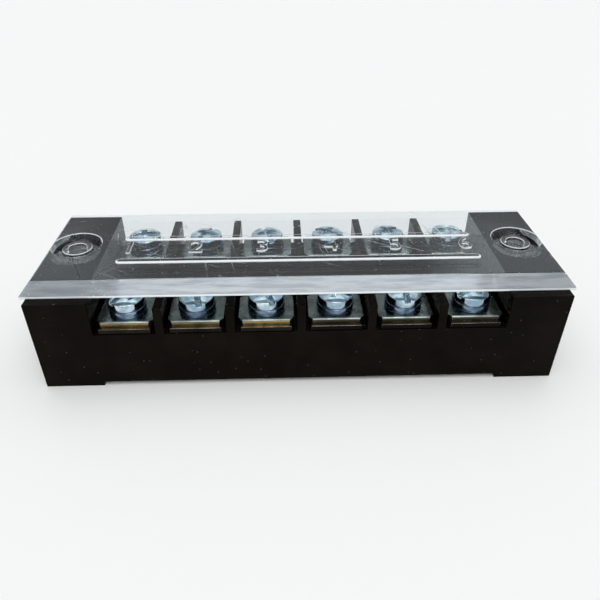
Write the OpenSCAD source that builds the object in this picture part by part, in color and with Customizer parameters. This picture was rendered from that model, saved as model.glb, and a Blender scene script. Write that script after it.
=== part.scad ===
// Six-pole barrier terminal block with a clear lift-off cover.
// Millimetres, +Z up, origin at the middle of the underside, poles in a row along X.

/* [Base moulding] */
// Length of each end block along the row
end_l = 10.75; // [9.5:0.05:14]
// Clear width of one wiring bay
bay_w = 11; // [9.8:0.1:14]
// Thickness of the barrier between two bays
barrier_t = 1.5; // [1:0.1:3]
// Width of the base, front face to rear face
base_w = 30; // [28:0.5:40]
// Height of the end blocks
base_h = 18.4; // [16.5:0.1:22]
// Drop from the end block tops to the tops of the barriers
barrier_drop = 1.2; // [0.4:0.1:2]
// Height of the deck that the conductor strips lie on
deck_h = 11.8; // [11:0.1:12.4]
// Lift of the underside between the two end feet
foot_relief = 0.9; // [0.3:0.1:2]
// Width of the middle rib between the two rows of bays
rib_w = 10; // [6:0.5:10.4]
// Height of the middle rib above the deck
rib_rise = 2.4; // [1.8:0.1:4]
// Length of a moulded core pocket in the underside, along the row
core_l = 8; // [4:0.5:9.5]
// Width of a core pocket
core_w = 8; // [4:0.5:12]
// Thickness left between a core pocket and the deck
core_roof = 2; // [1:0.1:4]

/* [Mounting holes] */
// Distance of a mounting hole from the end of the base
mount_inset = 5.3; // [5:0.1:5.6]
// Diameter of a mounting hole
mount_hole_d = 4.5; // [3.4:0.1:5.5]
// Diameter of the pocket for the mounting screw's head
head_pocket_d = 8.8; // [7:0.1:9]
// Height of the shoulder that the mounting screw's head sits on
shoulder_h = 9; // [4:0.5:11]

/* [Conductor strips] */
// Width of a conductor strip
strip_w = 9; // [7:0.1:10]
// Thickness of a conductor strip
strip_t = 1; // [0.6:0.1:1.2]
// Distance of a strip's end from the front or rear face
strip_inset = 0.3; // [0.1:0.1:1.5]
// Room around a strip in its slot under the rib
slot_clear = 0.05; // [0.02:0.01:0.1]

/* [Clamp plates] */
// Length of a clamp plate, along the row
plate_l = 10; // [8:0.1:10.4]
// Width of a clamp plate, front edge to rear edge
plate_w = 8.2; // [7:0.1:8.6]
// Least room between a clamp plate and the walls of its bay
plate_room = 0.2; // [0.1:0.05:0.4]
// Thickness of a clamp plate
plate_t = 1; // [0.6:0.1:1.2]
// Radius of the rounded front and rear edges of a clamp plate
plate_edge_r = 0.4; // [0.1:0.05:0.5]
// Size of the clipped corners of a clamp plate
plate_corner = 0.85; // [0.3:0.05:2]
// Room around the screw in a clamp plate
plate_clear = 0.15; // [0.1:0.05:0.4]

/* [Spring washers] */
// Outer diameter of a spring washer
washer_d = 6.7; // [5.8:0.1:7.4]
// Thickness of a spring washer
washer_t = 1.3; // [0.8:0.1:1.5]
// Width of the split in a spring washer
washer_split = 0.6; // [0.3:0.1:1.2]
// Slant of the split
split_slant = 25; // [0:5:40]
// Room around the screw in a spring washer
washer_clear = 0.1; // [0.05:0.05:0.3]

/* [Terminal screws] */
// Distance of a screw from the front or rear face
screw_inset = 5.1; // [4.7:0.1:5.7]
// Outer diameter of the screw thread
screw_d = 4; // [3:0.1:4.4]
// Length of a screw under its head
screw_len = 10; // [6:0.5:10.5]
// Length of the tapered tip of a screw
tip_l = 0.7; // [0.3:0.1:1.2]
// Diameter of a screw head
head_d = 6.4; // [5.8:0.1:7.6]
// Height of a screw head at its middle
head_h = 2.2; // [1.8:0.1:2.3]
// Height of the domed part of a screw head
head_crown = 0.7; // [0.3:0.1:1.2]
// Width of the slot and of the cross in a screw head
slot_w = 1; // [0.6:0.1:1.4]
// Depth of the slot at the middle of a screw head
slot_depth = 1.2; // [0.8:0.1:1.5]
// Length of the arms of the cross, tip to tip
cross_l = 3.8; // [2.5:0.1:4.5]
// Depth of the cross
cross_depth = 1.6; // [1.5:0.1:1.8]
// Room between the screw thread and a strip's tapped hole
thread_clear = 0.03; // [0.01:0.01:0.1]
// Room around the screw in its well in the base
well_clear = 0.4; // [0.2:0.1:0.8]
// Room under the tip of a screw in its well
well_end = 0.9; // [0.4:0.1:2]
// Height that a screw can rise by below the cover
screw_rise = 0.7; // [0.3:0.05:0.9]
// Least room between a raised screw head and the cover
head_room = 0.2; // [0.1:0.05:0.4]

/* [Cover] */
// How far the cover reaches past each end of the base
cover_overhang = 1.1; // [0:0.1:2]
// Setback of the cover from the front face of the base
cover_setback = 1.95; // [0.5:0.05:3]
// How far the cover reaches past the rear face of the base
cover_rear = 1.05; // [0:0.05:2]
// Thickness of the cover plate
cover_t = 2.6; // [2:0.1:4]
// Height of the upright edge under the bevel
cover_land = 0.4; // [0.2:0.1:0.8]
// Run of the bevel, seen from above
cover_bevel = 1.95; // [0.8:0.05:3]
// Diameter of the round recess over a peg
recess_d = 9.3; // [7.5:0.1:10.5]
// Depth of the round recess
recess_depth = 1.3; // [0.6:0.1:1.6]
// Diameter of a peg and of the boss over it
peg_d = 5.5; // [4.6:0.1:6.5]
// Height of the boss in its recess
boss_h = 0.7; // [0.3:0.1:1.2]
// Diameter of the dimple in the boss and of the hollow in the peg
hollow_d = 3.4; // [2:0.1:3.8]
// Depth of the dimple in the boss
dimple_depth = 0.4; // [0.2:0.1:1.1]
// Length of a peg below the plate
peg_l = 5.5; // [3:0.5:6]
// Thickness of the four gripping fins on a peg
fin_t = 0.9; // [0.6:0.1:1.4]
// Room between a peg with its fins and the head pocket in the base
peg_clear = 0.05; // [0.02:0.01:0.1]

/* [Beads on the cover] */
// Length of the two raised beads
bead_l = 66.8; // [50:0.2:72]
// Width of a bead
bead_w = 1.6; // [0.6:0.1:2.4]
// Height of a bead
bead_h = 0.3; // [0.2:0.05:0.5]
// Distance between the two beads
bead_gap = 8.5; // [6:0.5:12]
// Shift of the beads towards the front of the cover
bead_shift = 2.4; // [0:0.1:3]

/* [Hidden] */
$fn = 64;
pole_count = 6;
row_names = ["front", "rear"];
// Turn of each screw's slot from the X axis, front row and rear row
screw_turns = [[45, 105, 112, 160, 92, 28], [15, 62, 108, 150, 35, 80]];
// Turn of each washer's split
split_turns = [[60, 95, 130, 75, 110, 50], [250, 290, 215, 265, 235, 300]];

// How far a cutting shape runs past the face that it opens
overcut = 1;
pole_pitch = bay_w + barrier_t;
bays_l = pole_count * pole_pitch - barrier_t;
base_l = bays_l + 2 * end_l;
bay_depth = (base_w - rib_w) / 2;
mount_x = base_l / 2 - mount_inset;
screw_y = base_w / 2 - screw_inset;
strip_l = base_w - 2 * strip_inset;
plate_z = deck_h + strip_t;
washer_z = plate_z + plate_t;
head_z = washer_z + washer_t;
well_d = screw_d + 2 * well_clear;
well_z = head_z - screw_len - well_end;
cover_l = base_l + 2 * cover_overhang;
cover_w = base_w - cover_setback + cover_rear;
// Middle of the cover plate, which stands back from over the middle of the base
cover_y = (cover_setback + cover_rear) / 2;
cover_top = base_h + cover_t;
recess_floor = cover_top - recess_depth;
boss_top = recess_floor + boss_h;
// Radius of the sphere that domes a screw head
crown_r = (pow(head_d / 2, 2) + pow(head_crown, 2)) / (2 * head_crown);

function pole_x(pole) = (pole - (pole_count + 1) / 2) * pole_pitch;
function row_y(row) = (row == 0 ? -1 : 1) * screw_y;

module box(size, at) {
    translate([at.x - size.x / 2, at.y - size.y / 2, at.z])
        cube(size);
}

module base() {
    color("#1a1917")
        difference() {
            box([base_l, base_w, base_h], [0, 0, 0]);
            base_bays();
            base_plate_pockets();
            base_top_step();
            base_foot_relief();
            base_strip_slots();
            base_screw_wells();
            base_core_pockets();
            base_mount_holes();
        }
}

module base_bays() {
    cut_depth = bay_depth + overcut;
    cut_y = rib_w / 2 + cut_depth / 2;
    for (pole = [1 : pole_count]) {
        for (side = [-1, 1])
            box([bay_w, cut_depth, base_h], [pole_x(pole), side * cut_y, deck_h]);
        box([bay_w, rib_w + overcut, base_h], [pole_x(pole), 0, deck_h + rib_rise]);
    }
}

// Room for each clamp plate and its rise, where a bay by itself would be too tight
module base_plate_pockets() {
    pocket_size = [plate_l + 2 * plate_room, plate_w + 2 * plate_room, plate_t + screw_rise + plate_room];
    for (pole = [1 : pole_count], row = [0, 1])
        box(pocket_size, [pole_x(pole), row_y(row), plate_z]);
}

module base_top_step() {
    box([bays_l, base_w + 2 * overcut, barrier_drop + overcut], [0, 0, base_h - barrier_drop]);
}

module base_foot_relief() {
    box([bays_l, base_w + 2 * overcut, foot_relief + overcut], [0, 0, -overcut]);
}

module base_strip_slots() {
    slot_size = [strip_w + 2 * slot_clear, rib_w + 2 * overcut, strip_t + slot_clear];
    for (pole = [1 : pole_count])
        box(slot_size, [pole_x(pole), 0, deck_h]);
}

module base_screw_wells() {
    for (pole = [1 : pole_count], row = [0, 1])
        translate([pole_x(pole), row_y(row), well_z])
            cylinder(d = well_d, h = deck_h - well_z + overcut);
}

module base_core_pockets() {
    for (pole = [1 : pole_count])
        box([core_l, core_w, deck_h - core_roof + overcut], [pole_x(pole), 0, -overcut]);
}

module base_mount_holes() {
    for (side = [-1, 1])
        translate([side * mount_x, 0, 0]) {
            translate([0, 0, -overcut])
                cylinder(d = mount_hole_d, h = base_h);
            translate([0, 0, shoulder_h])
                cylinder(d = head_pocket_d, h = base_h);
        }
}

module strip(pole) {
    tapped_d = screw_d + 2 * thread_clear;
    color("#b9bdbf")
        translate([pole_x(pole), 0, deck_h])
            difference() {
                box([strip_w, strip_l, strip_t], [0, 0, 0]);
                for (row = [0, 1])
                    translate([0, row_y(row), -overcut])
                        cylinder(d = tapped_d, h = strip_t + 2 * overcut);
            }
}

// Plate with clipped corners, its front and rear edges rounded at the top
module clamp_plate(row, pole) {
    color("#c6ccd0")
        translate([pole_x(pole), row_y(row), plate_z])
            difference() {
                intersection() {
                    clipped_outline();
                    rounded_slab();
                }
                translate([0, 0, -overcut])
                    cylinder(d = screw_d + 2 * plate_clear, h = plate_t + 2 * overcut);
            }
}

module clipped_outline() {
    half_l = plate_l / 2;
    half_w = plate_w / 2;
    inner_l = half_l - plate_corner;
    inner_w = half_w - plate_corner;
    linear_extrude(plate_t)
        polygon([
            [half_l, inner_w], [inner_l, half_w], [-inner_l, half_w], [-half_l, inner_w],
            [-half_l, -inner_w], [-inner_l, -half_w], [inner_l, -half_w], [half_l, -inner_w]
        ]);
}

module rounded_slab() {
    edge_r = min(plate_edge_r, plate_t / 2);
    edge_y = plate_w / 2 - edge_r;
    box([plate_l, plate_w, plate_t - edge_r], [0, 0, 0]);
    box([plate_l, 2 * edge_y, plate_t], [0, 0, 0]);
    for (side = [-1, 1])
        translate([0, side * edge_y, plate_t - edge_r])
            rotate([0, 90, 0])
                cylinder(r = edge_r, h = plate_l, center = true);
}

module spring_washer(row, pole) {
    color("#aab2b8")
        translate([pole_x(pole), row_y(row), washer_z])
            rotate(split_turns[row][pole - 1])
                difference() {
                    cylinder(d = washer_d, h = washer_t);
                    translate([0, 0, -overcut])
                        cylinder(d = screw_d + 2 * washer_clear, h = washer_t + 2 * overcut);
                    translate([0, 0, washer_t / 2])
                        rotate([split_slant, 0, 0])
                            translate([0, -washer_split / 2, -washer_d / 2])
                                cube([washer_d, washer_split, washer_d]);
                }
}

module screw(row, pole) {
    color("#d3d8dc")
        translate([pole_x(pole), row_y(row), head_z])
            rotate(screw_turns[row][pole - 1]) {
                screw_head();
                screw_shank();
            }
}

// Pan head with a slot right across it and a cross at its middle
module screw_head() {
    difference() {
        intersection() {
            cylinder(d = head_d, h = head_h);
            translate([0, 0, head_h - crown_r])
                sphere(r = crown_r);
        }
        box([head_d + 2 * overcut, slot_w, slot_depth + overcut], [0, 0, head_h - slot_depth]);
        box([cross_l, slot_w, cross_depth + overcut], [0, 0, head_h - cross_depth]);
        box([slot_w, cross_l, cross_depth + overcut], [0, 0, head_h - cross_depth]);
    }
}

// Shank with a tapered tip, rooted half way into the floor of the cross
module screw_shank() {
    shank_r = screw_d / 2;
    root = (head_h - cross_depth) / 2;
    rotate_extrude()
        polygon([
            [0, -screw_len], [shank_r - tip_l, -screw_len], [shank_r, tip_l - screw_len],
            [shank_r, root], [0, root]
        ]);
}

module cover() {
    color([0.86, 0.92, 0.95, 0.4])
        difference() {
            union() {
                cover_plate();
                cover_beads();
                for (side = [-1, 1])
                    translate([side * mount_x, 0, base_h - peg_l])
                        cover_peg();
            }
            for (side = [-1, 1])
                translate([side * mount_x, cover_y, 0])
                    cover_peg_cuts();
            cover_head_pockets();
        }
}

module cover_plate() {
    translate([0, cover_y, base_h])
        intersection() {
            rotate([90, 0, 0])
                linear_extrude(cover_w, center = true)
                    bevel_profile(cover_l);
            rotate([90, 0, 90])
                linear_extrude(cover_l, center = true)
                    bevel_profile(cover_w);
        }
}

module bevel_profile(span) {
    foot = span / 2;
    crest = foot - cover_bevel;
    polygon([
        [-foot, 0], [foot, 0], [foot, cover_land],
        [crest, cover_t], [-crest, cover_t], [-foot, cover_land]
    ]);
}

// The beads are rooted in the plate by their own height
module cover_beads() {
    for (side = [-1, 1])
        translate([0, cover_y - bead_shift + side * bead_gap / 2, cover_top - bead_h])
            linear_extrude(2 * bead_h)
                bead_outline();
}

module bead_outline() {
    straight = bead_l - bead_w;
    square([straight, bead_w], center = true);
    for (side = [-1, 1])
        translate([side * straight / 2, 0])
            circle(d = bead_w);
}

// The peg stands at the middle of the cover and its fins reach to the wall of the head pocket.
// Both are rooted in the plate, up to the recess floor.
module cover_peg() {
    rooted_l = peg_l + cover_t - recess_depth;
    intersection() {
        cylinder(d = head_pocket_d - 2 * peg_clear, h = rooted_l);
        union() {
            translate([0, cover_y, 0])
                cylinder(d = peg_d, h = rooted_l);
            box([head_pocket_d, fin_t, rooted_l], [0, cover_y, 0]);
            box([fin_t, head_pocket_d, rooted_l], [0, 0, 0]);
        }
    }
}

// Ring-shaped recess around the boss, dimple in the boss and hollow in the peg
module cover_peg_cuts() {
    difference() {
        translate([0, 0, recess_floor])
            cylinder(d = recess_d, h = recess_depth + overcut);
        translate([0, 0, recess_floor])
            cylinder(d = peg_d, h = boss_h);
    }
    translate([0, 0, boss_top - dimple_depth])
        cylinder(d = hollow_d, h = dimple_depth + overcut);
    translate([0, 0, base_h - peg_l - overcut])
        cylinder(d = hollow_d, h = peg_l + overcut);
}

// Room for each raised screw head, where a low base brings the cover down to it
module cover_head_pockets() {
    for (pole = [1 : pole_count], row = [0, 1])
        translate([pole_x(pole), row_y(row), head_z])
            cylinder(d = head_d + 2 * head_room, h = head_h + screw_rise + head_room);
}

base();
cover();
for (pole = [1 : pole_count]) {
    strip(pole);
}
for (row = [0, 1], pole = [1 : pole_count]) {
    place = str(row_names[row], "_", pole);
    clamp_plate(row, pole);
    spring_washer(row, pole);
    screw(row, pole);
}
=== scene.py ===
from math import cos, radians, sin

import bpy
from mathutils import Matrix, Vector


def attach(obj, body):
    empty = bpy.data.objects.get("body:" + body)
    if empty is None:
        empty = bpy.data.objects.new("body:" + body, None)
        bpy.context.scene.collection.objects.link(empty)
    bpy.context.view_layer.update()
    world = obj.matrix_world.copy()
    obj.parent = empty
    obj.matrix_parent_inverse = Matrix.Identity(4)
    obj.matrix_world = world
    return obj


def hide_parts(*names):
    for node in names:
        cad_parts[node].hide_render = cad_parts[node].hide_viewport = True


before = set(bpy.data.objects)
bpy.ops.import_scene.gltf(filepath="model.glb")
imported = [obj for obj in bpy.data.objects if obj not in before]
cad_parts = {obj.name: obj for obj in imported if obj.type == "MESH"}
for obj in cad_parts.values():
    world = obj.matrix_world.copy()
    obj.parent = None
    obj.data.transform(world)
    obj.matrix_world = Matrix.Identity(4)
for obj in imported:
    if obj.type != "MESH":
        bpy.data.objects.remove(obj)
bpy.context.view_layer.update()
scene = bpy.context.scene
mm = 0.001
rows = ("front", "rear")
poles = range(1, 7)
print("frame loaded:", len(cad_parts), "nodes")


def deselectAll():
    if bpy.context.mode != "OBJECT":
        bpy.ops.object.mode_set(mode="OBJECT")
    bpy.ops.object.select_all(action="DESELECT")


def pick(obj):
    deselectAll()
    obj.select_set(True)
    bpy.context.view_layer.objects.active = obj


def applyModifier(obj, modifier):
    pick(obj)
    bpy.ops.object.modifier_apply(modifier=modifier.name)


# shader helpers: x and y only place a node in the editor
def addNode(tree, kind, x, y, **values):
    node = tree.nodes.new(kind)
    node.location = (x, y)
    for key, value in values.items():
        setattr(node, key, value)
    return node


def setInputs(node, **values):
    for key, value in values.items():
        node.inputs[key.replace("_", " ")].default_value = value
    return node


def mathNode(tree, operation, x, y, first, second=None, clamp=False):
    node = addNode(tree, "ShaderNodeMath", x, y, operation=operation, use_clamp=clamp)
    for socket, value in zip(node.inputs, (first, second)):
        if isinstance(value, (int, float)):
            socket.default_value = value
        elif value is not None:
            tree.links.new(value, socket)
    return node.outputs[0]


def stepRange(tree, x, y, value, low, high, toLow=0.0, toHigh=1.0):
    node = addNode(tree, "ShaderNodeMapRange", x, y, interpolation_type="SMOOTHSTEP")
    setInputs(node, From_Min=low, From_Max=high, To_Min=toLow, To_Max=toHigh)
    tree.links.new(value, node.inputs["Value"])
    return node.outputs["Result"]


def objectCoords(tree, x, y):
    return addNode(tree, "ShaderNodeTexCoord", x, y).outputs["Object"]


def addNoise(tree, x, y, vector, scale, detail, roughness):
    node = addNode(tree, "ShaderNodeTexNoise", x, y, noise_dimensions="3D")
    setInputs(node, Detail=detail, Roughness=roughness)
    tree.links.new(vector, node.inputs["Vector"])
    tree.links.new(scale, node.inputs["Scale"])
    return node.outputs["Fac"]


# draws a pattern out along X
def drawOut(tree, x, y, vector, stretch, shift=(0.0, 0.0, 0.0)):
    node = addNode(tree, "ShaderNodeMapping", x, y)
    setInputs(node, Scale=(stretch, 1.0, 1.0), Location=shift)
    tree.links.new(vector, node.inputs["Vector"])
    return node.outputs["Vector"]


def newGroup(name, inputs, outputs):
    group = bpy.data.node_groups.new(name, "ShaderNodeTree")
    for label, value in inputs.items():
        socket = group.interface.new_socket(label, in_out="INPUT", socket_type="NodeSocketFloat")
        socket.default_value = value
    for label in outputs:
        group.interface.new_socket(label, in_out="OUTPUT", socket_type="NodeSocketFloat")
    given = addNode(group, "NodeGroupInput", -1100, 0)
    return group, given.outputs, addNode(group, "NodeGroupOutput", 700, 0).inputs


# fine straight hairlines in three directions, only in patches
hairlineLook = {
    "directions": ((0.5, 0.035), (-0.8, 0.05), (1.35, 0.04)),  # turn in radians, stretch
    "shift": (0.37, 0.11, 0.0), "finer": 12.0, "line": (0.66, 0.74), "patch": (0.42, 0.66),
}


def buildHairlines():
    look = hairlineLook
    group, given, result = newGroup("hairlines", {"Scale": 160.0, "Amount": 0.5, "Turn": 0.4}, ["Mask"])
    coords = objectCoords(group, -1100, 300)
    fineScale = mathNode(group, "MULTIPLY", -540, 460, given["Scale"], look["finer"])
    masks = []
    for index, (turn, stretch) in enumerate(look["directions"]):
        y = 300 - index * 320
        angle = mathNode(group, "ADD", -900, y, given["Turn"], turn)
        spin = addNode(group, "ShaderNodeVectorRotate", -720, y, rotation_type="Z_AXIS")
        group.links.new(coords, spin.inputs["Vector"])
        group.links.new(angle, spin.inputs["Angle"])
        shift = [index * step for step in look["shift"]]
        drawn = drawOut(group, -540, y, spin.outputs["Vector"], stretch, shift)
        noise = addNoise(group, -360, y, drawn, fineScale, 2.0, 0.6)
        masks.append(stepRange(group, -180, y, noise, *look["line"]))
    patches = addNoise(group, -540, -700, coords, given["Scale"], 3.0, 0.55)
    patchMask = stepRange(group, -180, -700, patches, *look["patch"])
    mixed = mathNode(group, "MAXIMUM", 0, 200, masks[0], masks[1])
    mixed = mathNode(group, "MAXIMUM", 120, 100, mixed, masks[2])
    mixed = mathNode(group, "MULTIPLY", 260, 0, mixed, patchMask)
    mixed = mathNode(group, "MULTIPLY", 420, 0, mixed, given["Amount"], clamp=True)
    group.links.new(mixed, result["Mask"])
    return group


# small dots of dust, a random share of the cells of a grid
def buildSpecks():
    group, given, result = newGroup("specks", {"Scale": 900.0, "Size": 0.2, "Share": 0.1}, ["Mask"])
    cells = addNode(group, "ShaderNodeTexVoronoi", -700, 200, voronoi_dimensions="3D", feature="F1")
    group.links.new(objectCoords(group, -900, 200), cells.inputs["Vector"])
    group.links.new(given["Scale"], cells.inputs["Scale"])
    split = addNode(group, "ShaderNodeSeparateColor", -480, 0)
    group.links.new(cells.outputs["Color"], split.inputs["Color"])
    chosen = mathNode(group, "LESS_THAN", -280, 0, split.outputs["Red"], given["Share"])
    reach = mathNode(group, "MULTIPLY", -280, 180, split.outputs["Green"], given["Size"])
    inside = mathNode(group, "LESS_THAN", -80, 180, cells.outputs["Distance"], reach)
    group.links.new(mathNode(group, "MULTIPLY", 120, 100, inside, chosen), result["Mask"])
    return group


# soft uneven height of a moulded or plated skin, and the broad clouds on it
def buildSkin():
    group, given, result = newGroup("skin", {"Scale": 1500.0, "Broad": 120.0}, ["Height", "Cloud"])
    coords = objectCoords(group, -900, 200)
    group.links.new(addNoise(group, -600, 300, coords, given["Scale"], 3.0, 0.6), result["Height"])
    group.links.new(addNoise(group, -600, 0, coords, given["Broad"], 4.0, 0.55), result["Cloud"])
    return group


# short streaks along X, as left by drawing or polishing
drawnLook = {"stretch": 0.11, "streak": (0.4, 0.66)}


def buildDrawnGrain():
    group, given, result = newGroup("drawnGrain", {"Scale": 1100.0}, ["Mask"])
    drawn = drawOut(group, -700, 200, objectCoords(group, -900, 200), drawnLook["stretch"])
    noise = addNoise(group, -450, 200, drawn, given["Scale"], 3.0, 0.6)
    group.links.new(stepRange(group, -200, 200, noise, *drawnLook["streak"]), result["Mask"])
    return group


hairlines, specks, skin, drawnGrain = buildHairlines(), buildSpecks(), buildSkin(), buildDrawnGrain()
print("shared effects built")


def newMaterial(name):
    material = bpy.data.materials.new(name)
    material.use_nodes = True
    tree = material.node_tree
    shader = tree.nodes["Principled BSDF"]
    shader.location = (500, 0)
    return material, tree, shader


# places a group with its own values and gives its outputs
def placeGroup(tree, group, x, y, values):
    node = addNode(tree, "ShaderNodeGroup", x, y, node_tree=group)
    return setInputs(node, **values).outputs


def mixColours(tree, x, y, factor, first, second):
    node = addNode(tree, "ShaderNodeMix", x, y, data_type="RGBA")
    tree.links.new(factor, node.inputs["Factor"])
    for socket, value in ((node.inputs["A"], first), (node.inputs["B"], second)):
        if isinstance(value, tuple):
            socket.default_value = (*value, 1.0)
        else:
            tree.links.new(value, socket)
    return node.outputs["Result"]


def bump(tree, shader, height, strength, distance):
    node = addNode(tree, "ShaderNodeBump", 300, -300)
    setInputs(node, Strength=strength, Distance=distance)
    tree.links.new(height, node.inputs["Height"])
    tree.links.new(node.outputs["Normal"], shader.inputs["Normal"])


# base: black thermoset, satin, a little dusty
mouldedBlack = {
    "dark": (0.0030, 0.0019, 0.0008), "pale": (0.0056, 0.0040, 0.0026), "cloud": (0.35, 0.7),
    "dust": (0.06, 0.057, 0.052), "lineDust": 0.06, "specular": 0.042,
    "roughness": (0.13, 0.26), "roughCloud": (0.3, 0.7), "grain": 0.08, "grainDepth": 0.00004,
    "skin": {"Scale": 2600.0, "Broad": 140.0},
    "specks": {"Scale": 900.0, "Size": 0.2, "Share": 0.3},
    "hairlines": {"Scale": 90.0, "Amount": 0.5, "Turn": 0.2},
}


def makeMouldedBlack():
    look = mouldedBlack
    material, tree, shader = newMaterial("mouldedBlack")
    surface = placeGroup(tree, skin, -700, 200, look["skin"])
    dots = placeGroup(tree, specks, -700, -50, look["specks"])
    lines = placeGroup(tree, hairlines, -700, -300, look["hairlines"])
    cloud = stepRange(tree, -450, 250, surface["Cloud"], *look["cloud"])
    colour = mixColours(tree, -200, 250, cloud, look["dark"], look["pale"])
    faintLines = mathNode(tree, "MULTIPLY", -450, -300, lines["Mask"], look["lineDust"])
    marks = mathNode(tree, "MAXIMUM", -250, -100, dots["Mask"], faintLines)
    colour = mixColours(tree, 50, 250, marks, colour, look["dust"])
    tree.links.new(colour, shader.inputs["Base Color"])
    rough = stepRange(tree, -200, 0, surface["Cloud"], *look["roughCloud"], *look["roughness"])
    tree.links.new(rough, shader.inputs["Roughness"])
    setInputs(shader, Specular_IOR_Level=look["specular"])
    bump(tree, shader, surface["Height"], look["grain"], look["grainDepth"])
    return material


# cover: clear polycarbonate, scratched by handling and more so near the ends, with duller bevels and pale
# edges that are painted highlights
plastics = {
    "clearPlastic": {
        "tint": (0.93, 0.97, 0.985), "transmission": 1.0, "polish": (0.012, 0.04), "scuffed": 0.8,
        "calm": 0.45, "endScuffs": 0.9, "endHaze": 0.35,
    },
    "dullBevel": {
        "tint": (0.83, 0.90, 0.96), "shade": (0.56, 0.63, 0.71), "transmission": 0.68,
        "polish": (0.12, 0.28), "scuffed": 0.5, "calm": 0.5, "endScuffs": 0.5, "endHaze": 0.2,
    },
    # pale, nearly opaque finish: painted highlights on the upright land, the slopes of raised marks and
    # the recess rims
    "paintedHighlightEdge": {
        "tint": (0.95, 0.97, 0.99), "transmission": 0.18, "polish": (0.10, 0.22), "scuffed": 0.4,
        "calm": 0.6, "endScuffs": 0.0, "endHaze": 0.0,
    },
}
coverWear = {
    "hairlines": {"Scale": 130.0, "Amount": 1.0, "Turn": 0.0},
    "specks": {"Scale": 900.0, "Size": 0.2, "Share": 0.35},
    "skin": {"Scale": 600.0, "Broad": 60.0},
    "scuffs": {"Scale": 48.0, "Turn": 0.6},
    "streaks": {"Scale": 1100.0},
    "ends": (0.029, 0.039),  # metres from the middle, over which the wear of the ends sets in
    "smudge": (0.45, 0.72), "haze": (0.35, 0.65), "coatRoughness": 0.6, "ior": 1.57,
    "scratch": 0.6, "scratchDepth": 0.00006,
}


def makeClearPlastic(name):
    look, wear = plastics[name], coverWear
    material, tree, shader = newMaterial(name)
    lines = placeGroup(tree, hairlines, -900, 100, wear["hairlines"])
    dots = placeGroup(tree, specks, -900, -150, wear["specks"])
    surface = placeGroup(tree, skin, -900, -400, wear["skin"])
    scuffs = placeGroup(tree, hairlines, -900, -650, {**wear["scuffs"], "Amount": look["endScuffs"]})
    place = addNode(tree, "ShaderNodeSeparateXYZ", -1100, 300)
    tree.links.new(objectCoords(tree, -1300, 300), place.inputs["Vector"])
    along = mathNode(tree, "ABSOLUTE", -900, 350, place.outputs["X"])
    nearEnds = stepRange(tree, -700, 350, along, *wear["ends"], look["calm"], 1.0)
    onEnds = stepRange(tree, -700, 550, along, *wear["ends"])
    marks = mathNode(tree, "MAXIMUM", -650, 0, lines["Mask"], dots["Mask"])
    marks = mathNode(tree, "MULTIPLY", -450, 100, marks, nearEnds)
    endMarks = mathNode(tree, "MULTIPLY", -500, 300, scuffs["Mask"], onEnds)
    marks = mathNode(tree, "MAXIMUM", -350, 200, marks, endMarks)
    setInputs(shader, Base_Color=(*look["tint"], 1.0), Transmission_Weight=look["transmission"],
              Coat_Roughness=wear["coatRoughness"], IOR=wear["ior"])
    height = marks
    if "shade" in look:
        streaks = placeGroup(tree, drawnGrain, -700, 800, wear["streaks"])["Mask"]
        colour = mixColours(tree, 200, 600, streaks, look["tint"], look["shade"])
        tree.links.new(colour, shader.inputs["Base Color"])
        height = mathNode(tree, "MAXIMUM", 100, 800, marks, streaks)
    smudge = stepRange(tree, -450, -350, surface["Cloud"], *wear["smudge"], *look["polish"])
    scuff = mathNode(tree, "MULTIPLY", -250, -150, marks, look["scuffed"])
    rough = mathNode(tree, "MAXIMUM", -50, -200, smudge, scuff)
    tree.links.new(rough, shader.inputs["Roughness"])
    hazy = stepRange(tree, -450, -550, surface["Cloud"], *wear["haze"], 0.0, look["endHaze"])
    haze = mathNode(tree, "MULTIPLY", -250, -550, hazy, onEnds)
    coat = mathNode(tree, "MAXIMUM", -50, -500, marks, haze)
    tree.links.new(coat, shader.inputs["Coat Weight"])
    bump(tree, shader, height, wear["scratch"], wear["scratchDepth"])
    return material


# zinc and nickel plated metal, brightness and stain by piece; faces towards front and back get a painted
# colour, darker in patches: a painted brown reflection on the clamp plates, painted shade on the strips
metals = {
    "plateZinc": {
        "bright": (0.34, 0.39, 0.37), "dull": (0.18, 0.21, 0.20), "stain": (0.36, 0.27, 0.13),
        # edge colours: painted brown reflection on the faces towards front and back, darker in patches
        "edge": (0.36, 0.25, 0.10), "edgeWorn": (0.050, 0.042, 0.030),
        "roughness": (0.14, 0.30), "brush": 0.10,
    },
    "washerZinc": {
        "bright": (0.26, 0.34, 0.45), "dull": (0.06, 0.09, 0.15), "stain": (0.05, 0.07, 0.12),
        "roughness": (0.12, 0.28), "brush": 0.08,
    },
    "screwZinc": {
        "bright": (0.72, 0.84, 0.89), "dull": (0.27, 0.40, 0.50), "stain": (0.24, 0.20, 0.18),
        "roughness": (0.05, 0.18), "brush": 0.08,
    },
    "stripNickel": {
        "bright": (0.30, 0.28, 0.24), "dull": (0.13, 0.12, 0.10), "stain": (0.22, 0.16, 0.10),
        # edge colours: painted shade on the faces towards front and back, darker in patches
        "edge": (0.020, 0.017, 0.013), "edgeWorn": (0.008, 0.007, 0.006),
        "roughness": (0.18, 0.36), "brush": 0.10,
    },
}
metalWear = {
    "skin": {"Scale": 3200.0, "Broad": 420.0},
    "hairlines": {"Scale": 300.0, "Amount": 0.8, "Turn": 0.9},
    "specks": {"Scale": 1600.0, "Size": 0.3, "Share": 0.18},
    "edgeSkin": {"Scale": 900.0, "Broad": 45.0},
    "cloud": (0.35, 0.68), "stained": 0.6, "edgeFacing": (0.8, 0.97), "edgeWorn": (0.40, 0.56),
    "roughCloud": (0.3, 0.7), "scratched": 0.2, "brushDepth": 0.00003,
}


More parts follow.
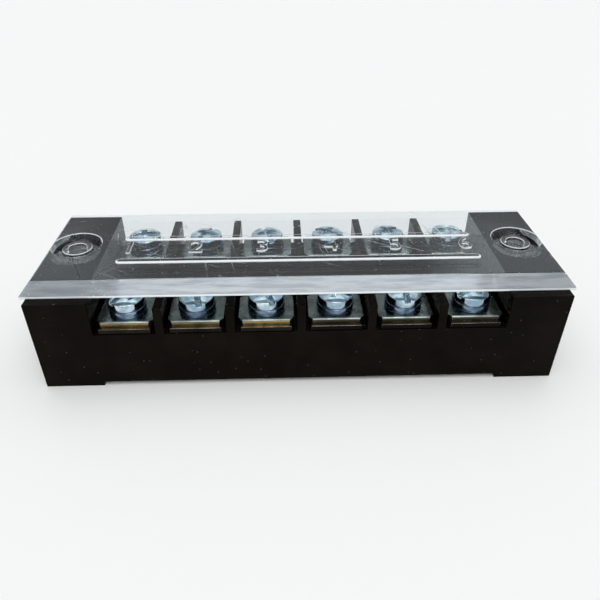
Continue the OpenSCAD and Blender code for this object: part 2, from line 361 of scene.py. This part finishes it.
def makeMetal(name):
    look, wear = metals[name], metalWear
    material, tree, shader = newMaterial(name)
    surface = placeGroup(tree, skin, -800, 200, wear["skin"])
    lines = placeGroup(tree, hairlines, -800, -100, wear["hairlines"])
    dots = placeGroup(tree, specks, -800, -350, wear["specks"])
    cloud = stepRange(tree, -550, 250, surface["Cloud"], *wear["cloud"])
    colour = mixColours(tree, -300, 250, cloud, look["dull"], look["bright"])
    stained = mathNode(tree, "MULTIPLY", -300, -350, dots["Mask"], wear["stained"])
    colour = mixColours(tree, -50, 250, stained, colour, look["stain"])
    # faces towards front and back take the painted edge colour: painted reflection on plates, painted
    # shade on strips
    if "edge" in look:
        normal = addNode(tree, "ShaderNodeNewGeometry", -500, 500).outputs["True Normal"]
        facing = addNode(tree, "ShaderNodeSeparateXYZ", -300, 500)
        tree.links.new(normal, facing.inputs["Vector"])
        sideways = mathNode(tree, "ABSOLUTE", -150, 500, facing.outputs["Y"])
        paintedEdgeMask = stepRange(tree, 0, 500, sideways, *wear["edgeFacing"])
        edgeSkin = placeGroup(tree, skin, -800, 700, wear["edgeSkin"])
        paintedEdgePatchMask = stepRange(tree, -300, 700, edgeSkin["Cloud"], *wear["edgeWorn"])
        paintedEdgeColour = mixColours(tree, 0, 700, paintedEdgePatchMask, look["edge"], look["edgeWorn"])
        colour = mixColours(tree, 200, 300, paintedEdgeMask, colour, paintedEdgeColour)
    tree.links.new(colour, shader.inputs["Base Color"])
    setInputs(shader, Metallic=1.0)
    smooth, dull = look["roughness"]
    rough = stepRange(tree, -300, 0, surface["Cloud"], *wear["roughCloud"], dull, smooth)
    scratched = mathNode(tree, "MULTIPLY", -300, -150, lines["Mask"], wear["scratched"])
    rough = mathNode(tree, "ADD", -50, 0, rough, scratched, clamp=True)
    tree.links.new(rough, shader.inputs["Roughness"])
    height = mathNode(tree, "ADD", 100, -250, surface["Height"], lines["Mask"])
    bump(tree, shader, height, look["brush"], wear["brushDepth"])
    return material


baseFinish = makeMouldedBlack()
coverFinish, bevelFinish, paintedHighlightFinish = (makeClearPlastic(name) for name in plastics)
metalFinish = {name: makeMetal(name) for name in metals}
print("materials built")


def giveFinish(obj, material):
    obj.data.materials.clear()
    obj.data.materials.append(material)


# CAD nodes keep their meshes: modifiers round the edges, by a radius in millimetres for each kind
edgeRounds = {"base": 0.16, "strip": 0.08, "clamp_plate": 0.10, "spring_washer": 0.20, "screw": 0.15}
edgeMaking = {"weld": 1e-6, "flat": 1.0, "sharp": 32.0, "segments": 3, "weight": 80}
clampFinish = {"clamp_plate": "plateZinc", "spring_washer": "washerZinc", "screw": "screwZinc"}


def dressNode(name, kind, material):
    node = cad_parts[name]
    weld = node.modifiers.new("weld", "WELD")
    weld.merge_threshold = edgeMaking["weld"]
    flatten = node.modifiers.new("flatten", "DECIMATE")
    flatten.decimate_type = "DISSOLVE"
    flatten.angle_limit = radians(edgeMaking["flat"])
    rounding = node.modifiers.new("rounding", "BEVEL")
    rounding.width = edgeRounds[kind] * mm
    rounding.segments = edgeMaking["segments"]
    rounding.limit_method = "ANGLE"
    rounding.angle_limit = radians(edgeMaking["sharp"])
    rounding.use_clamp_overlap = False
    rounding.harden_normals = False
    shade = node.modifiers.new("shade", "WEIGHTED_NORMAL")
    shade.keep_sharp = False
    shade.weight = edgeMaking["weight"]
    giveFinish(node, material)


dressNode("base", "base", baseFinish)
for pole in poles:
    dressNode(f"strip_{pole}", "strip", metalFinish["stripNickel"])
    for row in rows:
        for kind, finish in clampFinish.items():
            dressNode(f"{kind}_{row}_{pole}", kind, metalFinish[finish])
print("base, strips and clamps dressed")


# the cover is shaped in millimetres and scaled to metres once it is whole
def roundAll(obj, shape):
    rounding = obj.modifiers.new("rounding", "BEVEL")
    rounding.width = shape["edge"]
    rounding.segments = shape["segments"]
    rounding.limit_method = "ANGLE"
    rounding.angle_limit = radians(shape["sharp"])
    applyModifier(obj, rounding)


def combine(target, tool, operation, tangled=False):
    step = target.modifiers.new("combine", "BOOLEAN")
    step.operation = operation
    step.solver = "EXACT"
    step.use_self = tangled
    step.object = tool
    applyModifier(target, step)
    bpy.data.objects.remove(tool, do_unlink=True)


def settle(obj, place=(0.0, 0.0, 0.0), turn=(0.0, 0.0, 0.0), scale=(1.0, 1.0, 1.0)):
    pick(obj)
    obj.location = place
    obj.rotation_euler = tuple(radians(angle) for angle in turn)
    obj.scale = scale
    bpy.ops.object.transform_apply(location=True, rotation=True, scale=True)
    return obj


# selects the faces or corners that pass a test, and stays in edit mode
def selectWhere(obj, kind, test):
    pick(obj)
    bpy.ops.object.mode_set(mode="EDIT")
    bpy.ops.mesh.select_mode(type=kind)
    bpy.ops.mesh.select_all(action="DESELECT")
    bpy.ops.object.mode_set(mode="OBJECT")
    for part in obj.data.polygons if kind == "FACE" else obj.data.vertices:
        part.select = test(part)
    bpy.ops.object.mode_set(mode="EDIT")


def facesUp(face):
    return face.normal.z > 0.9


def makeBlock(size, place):
    deselectAll()
    bpy.ops.mesh.primitive_cube_add(size=1.0)
    return settle(bpy.context.object, place, scale=size)


def cleanMesh(obj):
    pick(obj)
    bpy.ops.object.mode_set(mode="EDIT")
    bpy.ops.mesh.select_all(action="SELECT")
    bpy.ops.mesh.remove_doubles(threshold=1e-4)
    bpy.ops.mesh.normals_make_consistent(inside=False)
    bpy.ops.object.mode_set(mode="OBJECT")


def arcPoints(centre, radius, first, last, steps=4):
    angles = [radians(first + (last - first) * step / steps) for step in range(steps + 1)]
    return [(centre[0] + radius * cos(angle), centre[1] + radius * sin(angle)) for angle in angles]


# turned solid from a half profile of (radius, height) points that starts and ends on the axis
def makeTurned(name, profile, steps=72):
    deselectAll()
    bpy.ops.mesh.primitive_plane_add(size=1.0)
    turned = bpy.context.object
    turned.name = name
    bpy.ops.object.mode_set(mode="EDIT")
    bpy.ops.mesh.select_mode(type="VERT")
    bpy.ops.mesh.select_all(action="SELECT")
    bpy.ops.mesh.merge(type="CENTER")
    bpy.ops.transform.translate(value=(profile[0][0], 0.0, profile[0][1]))
    for before, after in zip(profile, profile[1:]):
        step = (after[0] - before[0], 0.0, after[1] - before[1])
        bpy.ops.mesh.extrude_vertices_move(TRANSFORM_OT_translate={"value": step})
    bpy.ops.mesh.select_all(action="SELECT")
    bpy.ops.mesh.spin(steps=steps, angle=radians(360), axis=(0, 0, 1), center=(0, 0, 0))
    cleanMesh(turned)
    return turned


# cover: bevelled clear plate with hollow pegs, ring recesses, two beads and the pole numbers
coverShape = {
    "length": 97.2, "width": 29.1, "middleY": 1.5, "bottom": 18.4, "thick": 2.6, "land": 0.4,
    "bevel": 1.95, "edge": 0.16, "segments": 3, "sharp": 20.0, "smooth": 32.0, "weight": 100,
}


def makePlate():
    shape = coverShape
    plate = makeBlock((shape["length"], shape["width"], shape["land"]),
                      (0.0, shape["middleY"], shape["bottom"] + shape["land"] / 2))
    plate.name = "clearCover"
    selectWhere(plate, "FACE", facesUp)
    rise = shape["thick"] - shape["land"]
    bpy.ops.mesh.extrude_region_move(TRANSFORM_OT_translate={"value": (0.0, 0.0, rise)})
    shrink = [1 - 2 * shape["bevel"] / shape[side] for side in ("length", "width")]
    bpy.ops.transform.resize(value=(*shrink, 1.0), center_override=(0.0, shape["middleY"], 0.0))
    roundAll(plate, shape)
    return plate


# ring recess around a raised boss with a dimple, heights from the top of the plate
recessShape = {
    "radius": 4.65, "depth": 1.3, "rim": 0.14, "rimFrom": 75, "flare": 1.3, "above": 1.0,
    "corner": 0.2, "boss": 2.75, "bossTop": -0.6, "bossEdge": 0.18,
    "dimple": 1.7, "dimpleDepth": 0.4, "dimpleEdge": 0.15,
    # the rims take the pale finish of painted highlights
    "steep": 0.1, "level": 0.97, "reach": 1.0,  # for the finish of the rims
}


def makeRecessTool():
    shape = recessShape
    radius, rim, boss, top = shape["radius"], shape["rim"], shape["boss"], shape["bossTop"]
    inner, edge, lip = shape["corner"], shape["bossEdge"], shape["dimpleEdge"]
    floor, bottom = -shape["depth"], top - shape["dimpleDepth"]
    profile = [(0.0, shape["above"]), (radius + shape["flare"] * rim, shape["above"])]
    profile += arcPoints((radius + rim, -rim), rim, shape["rimFrom"], 180)
    profile += arcPoints((radius - inner, floor + inner), inner, 0, -90)
    profile += arcPoints((boss + inner, floor + inner), inner, 270, 180)
    profile += arcPoints((boss - edge, top - edge), edge, 0, 90)
    profile += arcPoints((shape["dimple"] + lip, top - lip), lip, 90, 180)
    profile += arcPoints((shape["dimple"] - inner, bottom + inner), inner, 0, -90)
    return makeTurned("recessTool", profile + [(0.0, bottom)])


# hollow peg with four fins that reach the wall of its pocket, heights from the underside of the plate
pegShape = {
    "x": 42.2, "y": 1.5, "radius": 2.75, "length": 5.5, "root": 0.6, "chamfer": 0.35,
    "hollow": 1.7, "hollowTop": 0.2, "mouth": 0.15, "below": 1.0,
    "finThick": 0.9, "finSpan": 12.0, "finLift": 0.15, "finSink": 0.1, "finStep": 0.1,
    "pocketRadius": 4.35, "taper": 0.15, "past": 0.5,
}


def makePeg():
    shape = pegShape
    foot, chamfer, past = -shape["length"], shape["chamfer"], shape["past"]
    profile = [(0.0, foot), (shape["radius"] - chamfer, foot), (shape["radius"], foot + chamfer)]
    profile += [(shape["radius"], shape["root"]), (0.0, shape["root"])]
    peg = makeTurned("peg", profile)
    low, high = foot + shape["finLift"], shape["root"] - shape["finSink"]
    middle = (0.0, 0.0, (high + low) / 2)
    fins = makeBlock((shape["finSpan"], shape["finThick"], high - low), middle)
    across = makeBlock((shape["finThick"], shape["finSpan"], high - low - shape["finStep"]), middle)
    combine(fins, across, "UNION")
    wall, lead = shape["pocketRadius"], shape["taper"] + past
    room = [(0.0, low - past), (wall - lead, low - past), (wall, low + shape["taper"])]
    room += [(wall, high + past), (0.0, high + past)]
    combine(fins, settle(makeTurned("pocketRoom", room), (0.0, -shape["y"], 0.0)), "INTERSECT")
    combine(peg, fins, "UNION")
    end, mouth = foot - shape["below"], shape["mouth"] + shape["below"]
    bore = [(0.0, end), (shape["hollow"] + mouth, end), (shape["hollow"], foot + shape["mouth"])]
    bore += [(shape["hollow"], shape["hollowTop"]), (0.0, shape["hollowTop"])]
    combine(peg, makeTurned("pegBore", bore), "DIFFERENCE")
    return peg


# flat-topped bead: a short cylinder whose two halves are drawn apart, its top drawn in and up
beadShape = {
    "length": 66.8, "width": 1.6, "rise": 0.3, "root": 0.3, "slope": (0.4, 0.14), "corners": 48,
    "edge": 0.05, "segments": 2, "sharp": 15.0, "y": (-5.15, 3.35),
}


def makeBead(y, topZ):
    shape = beadShape
    deselectAll()
    slopeRun, slopeRise = shape["slope"]
    height = shape["rise"] + shape["root"] - slopeRise
    bpy.ops.mesh.primitive_cylinder_add(vertices=shape["corners"], radius=shape["width"] / 2, depth=height)
    bead = settle(bpy.context.object, turn=(0.0, 0.0, 180.0 / shape["corners"]))
    apart = (shape["length"] - shape["width"]) / 2
    for side in (-1, 1):
        selectWhere(bead, "VERT", lambda vertex: vertex.co.x * side > 0)
        bpy.ops.transform.translate(value=(side * apart, 0.0, 0.0))
    selectWhere(bead, "FACE", facesUp)
    bpy.ops.mesh.inset(thickness=slopeRun, depth=0.0)
    bpy.ops.transform.translate(value=(0.0, 0.0, slopeRise))
    roundAll(bead, shape)
    return settle(bead, (0.0, y, topZ + height / 2 - shape["root"]))


# raised pole numbers, each in its own place along X
numberShape = {
    "size": 6.0, "narrow": 0.88, "heavier": 0.03, "rise": 0.28, "root": 0.25, "edge": 0.07,
    "edgeSteps": 1, "curveSteps": 6, "y": -0.5, "x": (-31.8, -19.3, -6.9, 6.1, 18.25, 31.6),
}


def makeNumber(text, x, topZ):
    shape = numberShape
    deselectAll()
    bpy.ops.object.text_add()
    number = bpy.context.object
    number.data.body = text
    number.data.align_x = "CENTER"
    number.data.align_y = "CENTER"
    number.data.size = shape["size"]
    half = (shape["rise"] + shape["root"]) / 2
    number.data.extrude = half - shape["edge"]
    number.data.bevel_depth = shape["edge"]
    number.data.offset = shape["heavier"]
    number.data.bevel_resolution = shape["edgeSteps"]
    number.data.resolution_u = shape["curveSteps"]
    bpy.ops.object.convert(target="MESH")
    settle(number, (x, shape["y"], topZ + shape["rise"] - half), scale=(shape["narrow"], 1.0, 1.0))
    cleanMesh(number)
    return number


# 0 clear plate, 1 bevel, 2 the upright land, the slopes of raised marks and the rims of the recesses,
# whose pale finish paints highlights on them
def coverZone(face, topZ):
    x, y, z = face.center / mm
    pastCrest = max(abs(x) - coverShape["length"] / 2,
                    abs(y - coverShape["middleY"]) - coverShape["width"] / 2)
    if z > coverShape["bottom"] and pastCrest > -coverShape["bevel"]:
        return 2 if z < coverShape["bottom"] + coverShape["land"] else 1
    fromPeg = Vector((abs(x) - pegShape["x"], y - pegShape["y"])).length
    inRecess = fromPeg < recessShape["radius"] + recessShape["reach"]
    onRim = inRecess and z > topZ + recessShape["bossTop"] - recessShape["bossEdge"]
    if z > topZ and face.normal.z < recessShape["level"]:
        return 2
    return 2 if onRim and recessShape["steep"] < face.normal.z < recessShape["level"] else 0


def buildCover():
    cover = makePlate()
    topZ = coverShape["bottom"] + coverShape["thick"]
    for pole, x in zip(poles, numberShape["x"]):
        combine(cover, makeNumber(str(pole), x, topZ), "UNION", tangled=True)
    for side in (-1, 1):
        x, y = side * pegShape["x"], pegShape["y"]
        combine(cover, settle(makeRecessTool(), (x, y, topZ)), "DIFFERENCE")
        combine(cover, settle(makePeg(), (x, y, coverShape["bottom"])), "UNION")
    for y in beadShape["y"]:
        combine(cover, makeBead(y, topZ), "UNION")
    settle(cover, scale=(mm, mm, mm))
    bpy.ops.object.shade_smooth_by_angle(angle=radians(coverShape["smooth"]))
    shade = cover.modifiers.new("shade", "WEIGHTED_NORMAL")
    shade.keep_sharp = True
    shade.weight = coverShape["weight"]
    applyModifier(cover, shade)
    giveFinish(cover, coverFinish)
    cover.data.materials.append(bevelFinish)
    cover.data.materials.append(paintedHighlightFinish)
    for face in cover.data.polygons:
        face.material_index = coverZone(face, topZ)
    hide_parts("cover")
    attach(cover, "cover")
    print("cover built:", len(cover.data.polygons), "faces")


buildCover()

# plain pale floor, a little uneven in tone
floorLook = {
    "size": 6.0, "colour": (0.965, 0.955, 0.945), "uneven": 0.985, "roughness": 0.75, "specular": 0.2,
    "skin": {"Scale": 40.0, "Broad": 3.0},
}


def buildFloor():
    deselectAll()
    bpy.ops.mesh.primitive_plane_add(size=floorLook["size"])
    floor = bpy.context.object
    floor.name = "floor"
    material, tree, shader = newMaterial("paleFloor")
    surface = placeGroup(tree, skin, -500, 0, floorLook["skin"])
    darker = tuple(channel * floorLook["uneven"] for channel in floorLook["colour"])
    colour = mixColours(tree, -150, 100, surface["Cloud"], darker, floorLook["colour"])
    tree.links.new(colour, shader.inputs["Base Color"])
    setInputs(shader, Roughness=floorLook["roughness"], Specular_IOR_Level=floorLook["specular"])
    giveFinish(floor, material)


# soft sky by height, with a window on each side and a broad glow where the key light stands
skyLook = {
    "levels": ((0.0, 0.95), (0.25, 0.85), (0.42, 0.32), (0.72, 0.36), (0.86, 1.14), (1.0, 1.38)),
    "tint": (0.95, 0.98, 1.0), "windowTint": (0.50, 0.57, 0.60),
    "windowAside": ((0.22, 0.36), (0.50, 0.64)), "windowHeight": ((0.38, 0.46), (0.70, 0.80)),
    "keyFrom": (0.086, -0.610, 0.788), "keyEdge": (0.88, 0.99), "keyTint": (1.8, 1.77, 1.72),
}


# 1 between two soft edges and 0 outside them
def softBand(tree, y, value, rises, falls):
    return mathNode(tree, "MULTIPLY", -300, y, stepRange(tree, -500, y + 100, value, *rises),
                    stepRange(tree, -500, y - 100, value, *falls, 1.0, 0.0))


def buildSky():
    world = bpy.data.worlds.new("studioSky")
    scene.world = world
    world.use_nodes = True
    tree = world.node_tree
    coords = addNode(tree, "ShaderNodeTexCoord", -900, 0).outputs["Generated"]
    place = addNode(tree, "ShaderNodeSeparateXYZ", -700, 0)
    tree.links.new(coords, place.inputs["Vector"])
    ramp = addNode(tree, "ShaderNodeValToRGB", -500, 0)
    tree.links.new(place.outputs["Z"], ramp.inputs["Fac"])
    stops = ramp.color_ramp.elements
    while len(stops) < len(skyLook["levels"]):
        stops.new(0.5)
    for stop, (height, level) in zip(stops, skyLook["levels"]):
        stop.position = height
        stop.color = tuple(level * tint for tint in skyLook["tint"]) + (1.0,)
    aside = mathNode(tree, "ABSOLUTE", -700, 500, place.outputs["X"])
    windows = mathNode(tree, "MULTIPLY", -150, 500,
                       softBand(tree, 600, aside, *skyLook["windowAside"]),
                       softBand(tree, 300, place.outputs["Z"], *skyLook["windowHeight"]))
    towardsKey = addNode(tree, "ShaderNodeVectorMath", -700, 900, operation="DOT_PRODUCT")
    tree.links.new(coords, towardsKey.inputs[0])
    towardsKey.inputs[1].default_value = skyLook["keyFrom"]
    key = stepRange(tree, -500, 900, towardsKey.outputs["Value"], *skyLook["keyEdge"])
    light = ramp.outputs["Color"]
    for mask, tint in ((windows, skyLook["windowTint"]), (key, skyLook["keyTint"])):
        glow = mixColours(tree, 0, 300, mask, (0.0, 0.0, 0.0), tint)
        both = addNode(tree, "ShaderNodeMix", 200, 100, data_type="RGBA", blend_type="ADD")
        both.inputs["Factor"].default_value = 1.0
        tree.links.new(light, both.inputs["A"])
        tree.links.new(glow, both.inputs["B"])
        light = both.outputs["Result"]
    tree.links.new(light, tree.nodes["Background"].inputs["Color"])


# weak broad sun, kept out of reflections
sunLook = {
    "place": (0.1, -0.9, 1.2), "turn": (38.0, 0.0, 8.0), "energy": 0.2, "angle": 34.0,
    "tint": (1.0, 0.985, 0.96),
}


def buildSun():
    deselectAll()
    bpy.ops.object.light_add(type="SUN", location=sunLook["place"])
    sun = bpy.context.object
    sun.name = "softKey"
    sun.rotation_euler = tuple(radians(angle) for angle in sunLook["turn"])
    sun.visible_glossy = False
    sun.data.energy = sunLook["energy"]
    sun.data.angle = radians(sunLook["angle"])
    sun.data.color = sunLook["tint"]


buildFloor()
buildSky()
buildSun()
print("studio built")

# place in millimetres, angles in degrees
photoCamera = {
    "place": (-3.188, -96.338, 74.445), "pan": -2.032, "tilt": 55.578, "roll": 0.149,
    "lens": 34.645, "sensor": 36.0, "nearest": 0.005,
}


def buildCamera():
    deselectAll()
    bpy.ops.object.camera_add()
    camera = bpy.context.object
    camera.name = "photoCamera"
    turn = Matrix.Rotation(radians(photoCamera["pan"]), 3, "Z")
    turn = turn @ Matrix.Rotation(radians(photoCamera["tilt"]), 3, "X")
    turn = turn @ Matrix.Rotation(radians(photoCamera["roll"]), 3, "Z")
    camera.location = Vector(photoCamera["place"]) * mm
    camera.rotation_euler = turn.to_euler()
    camera.data.lens = photoCamera["lens"]
    camera.data.sensor_width = photoCamera["sensor"]
    camera.data.clip_start = photoCamera["nearest"]
    scene.camera = camera


buildCamera()
scene.view_settings.view_transform = "Standard"
scene.cycles.max_bounces = 24  # the light passes the cover several times
scene.cycles.transmission_bounces = 16
scene.cycles.glossy_bounces = 12
